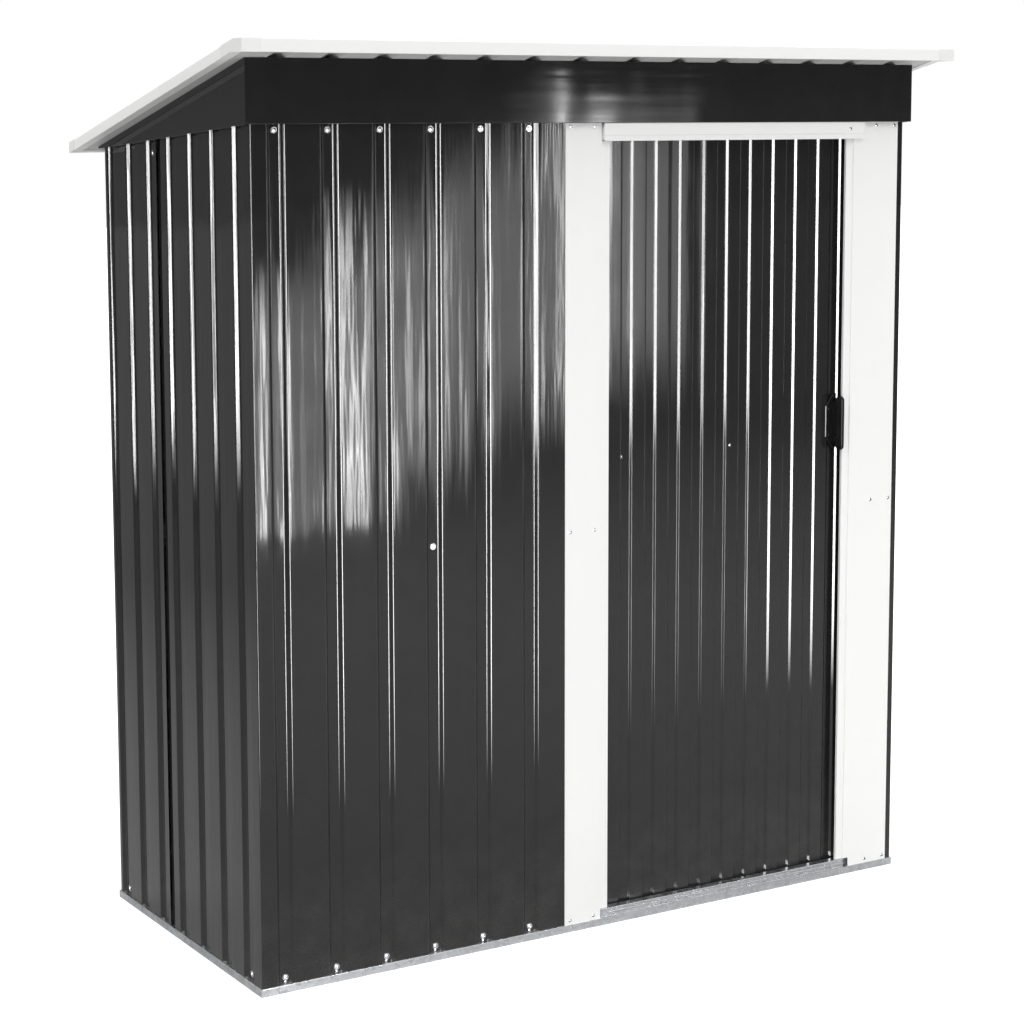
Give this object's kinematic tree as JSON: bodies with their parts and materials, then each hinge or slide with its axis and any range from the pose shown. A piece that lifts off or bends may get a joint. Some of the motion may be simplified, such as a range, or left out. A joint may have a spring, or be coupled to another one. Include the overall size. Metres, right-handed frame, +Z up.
{
  "type": "metal storage shed",
  "caption": "Metal storage shed with a pent roof falling to the rear, ribbed sheet walls, pale trims and one sliding door beside a ribbed front panel.",
  "frame": {"origin": "on the ground under the middle of the roof's outline", "axes": "+X along the front to a viewer's right, +Y from the front to the rear, +Z up"},
  "size_m": [1.715, 0.866, 1.8565],
  "materials": {
    "galvanised": "galvanised, satin",
    "anthracite_paint": "gloss",
    "white_paint": "satin",
    "white_plastic": "matte",
    "black_plastic": "fine grained",
    "roller_plastic": "smooth"
  },
  "bodies": {
    "shed": {"base_rail_front": "galvanised", "base_rail_left": "galvanised", "base_rail_rear": "galvanised", "base_rail_right": "galvanised", "door_guide": "galvanised", "door_track": "galvanised", "fascia_front": "white_paint", "fascia_left": "white_paint", "fascia_right": "white_paint", "front_sheet": "anthracite_paint", "header": "white_paint", "jamb_left": "white_paint", "jamb_right": "white_paint", "left_sheet_front": "anthracite_paint", "left_sheet_rear": "anthracite_paint", "mid_rail_front": "galvanised", "mid_rail_rear": "galvanised", "mid_rails_side": "galvanised", "rear_sheet_left": "anthracite_paint", "rear_sheet_middle": "anthracite_paint", "rear_sheet_right": "anthracite_paint", "right_sheet_front": "anthracite_paint", "right_sheet_rear": "anthracite_paint", "roof_beam": "galvanised", "roof_caps": "white_plastic", "roof_sheet_left": "anthracite_paint", "roof_sheet_right": "anthracite_paint", "roof_trim_front": "white_paint", "roof_trim_left": "white_paint", "roof_trim_rear": "white_paint", "roof_trim_right": "white_paint", "sill": "galvanised", "top_rail_front": "galvanised", "top_rail_left": "galvanised", "top_rail_rear": "galvanised", "top_rail_right": "galvanised"},
    "door": {"door_hangers": "galvanised", "door_rail_bottom": "galvanised", "door_rail_middle": "galvanised", "door_rail_top": "galvanised", "door_rollers": "roller_plastic", "door_sheet": "anthracite_paint", "door_stiles": "galvanised", "handle_grip": "black_plastic", "handle_plate": "black_plastic"}
  },
  "joints": [
    {"name": "door_slide", "type": "slide", "parent": "shed", "child": "door", "axis": [-1, 0, 0], "range_m": [0, 0.58]}
  ]
}
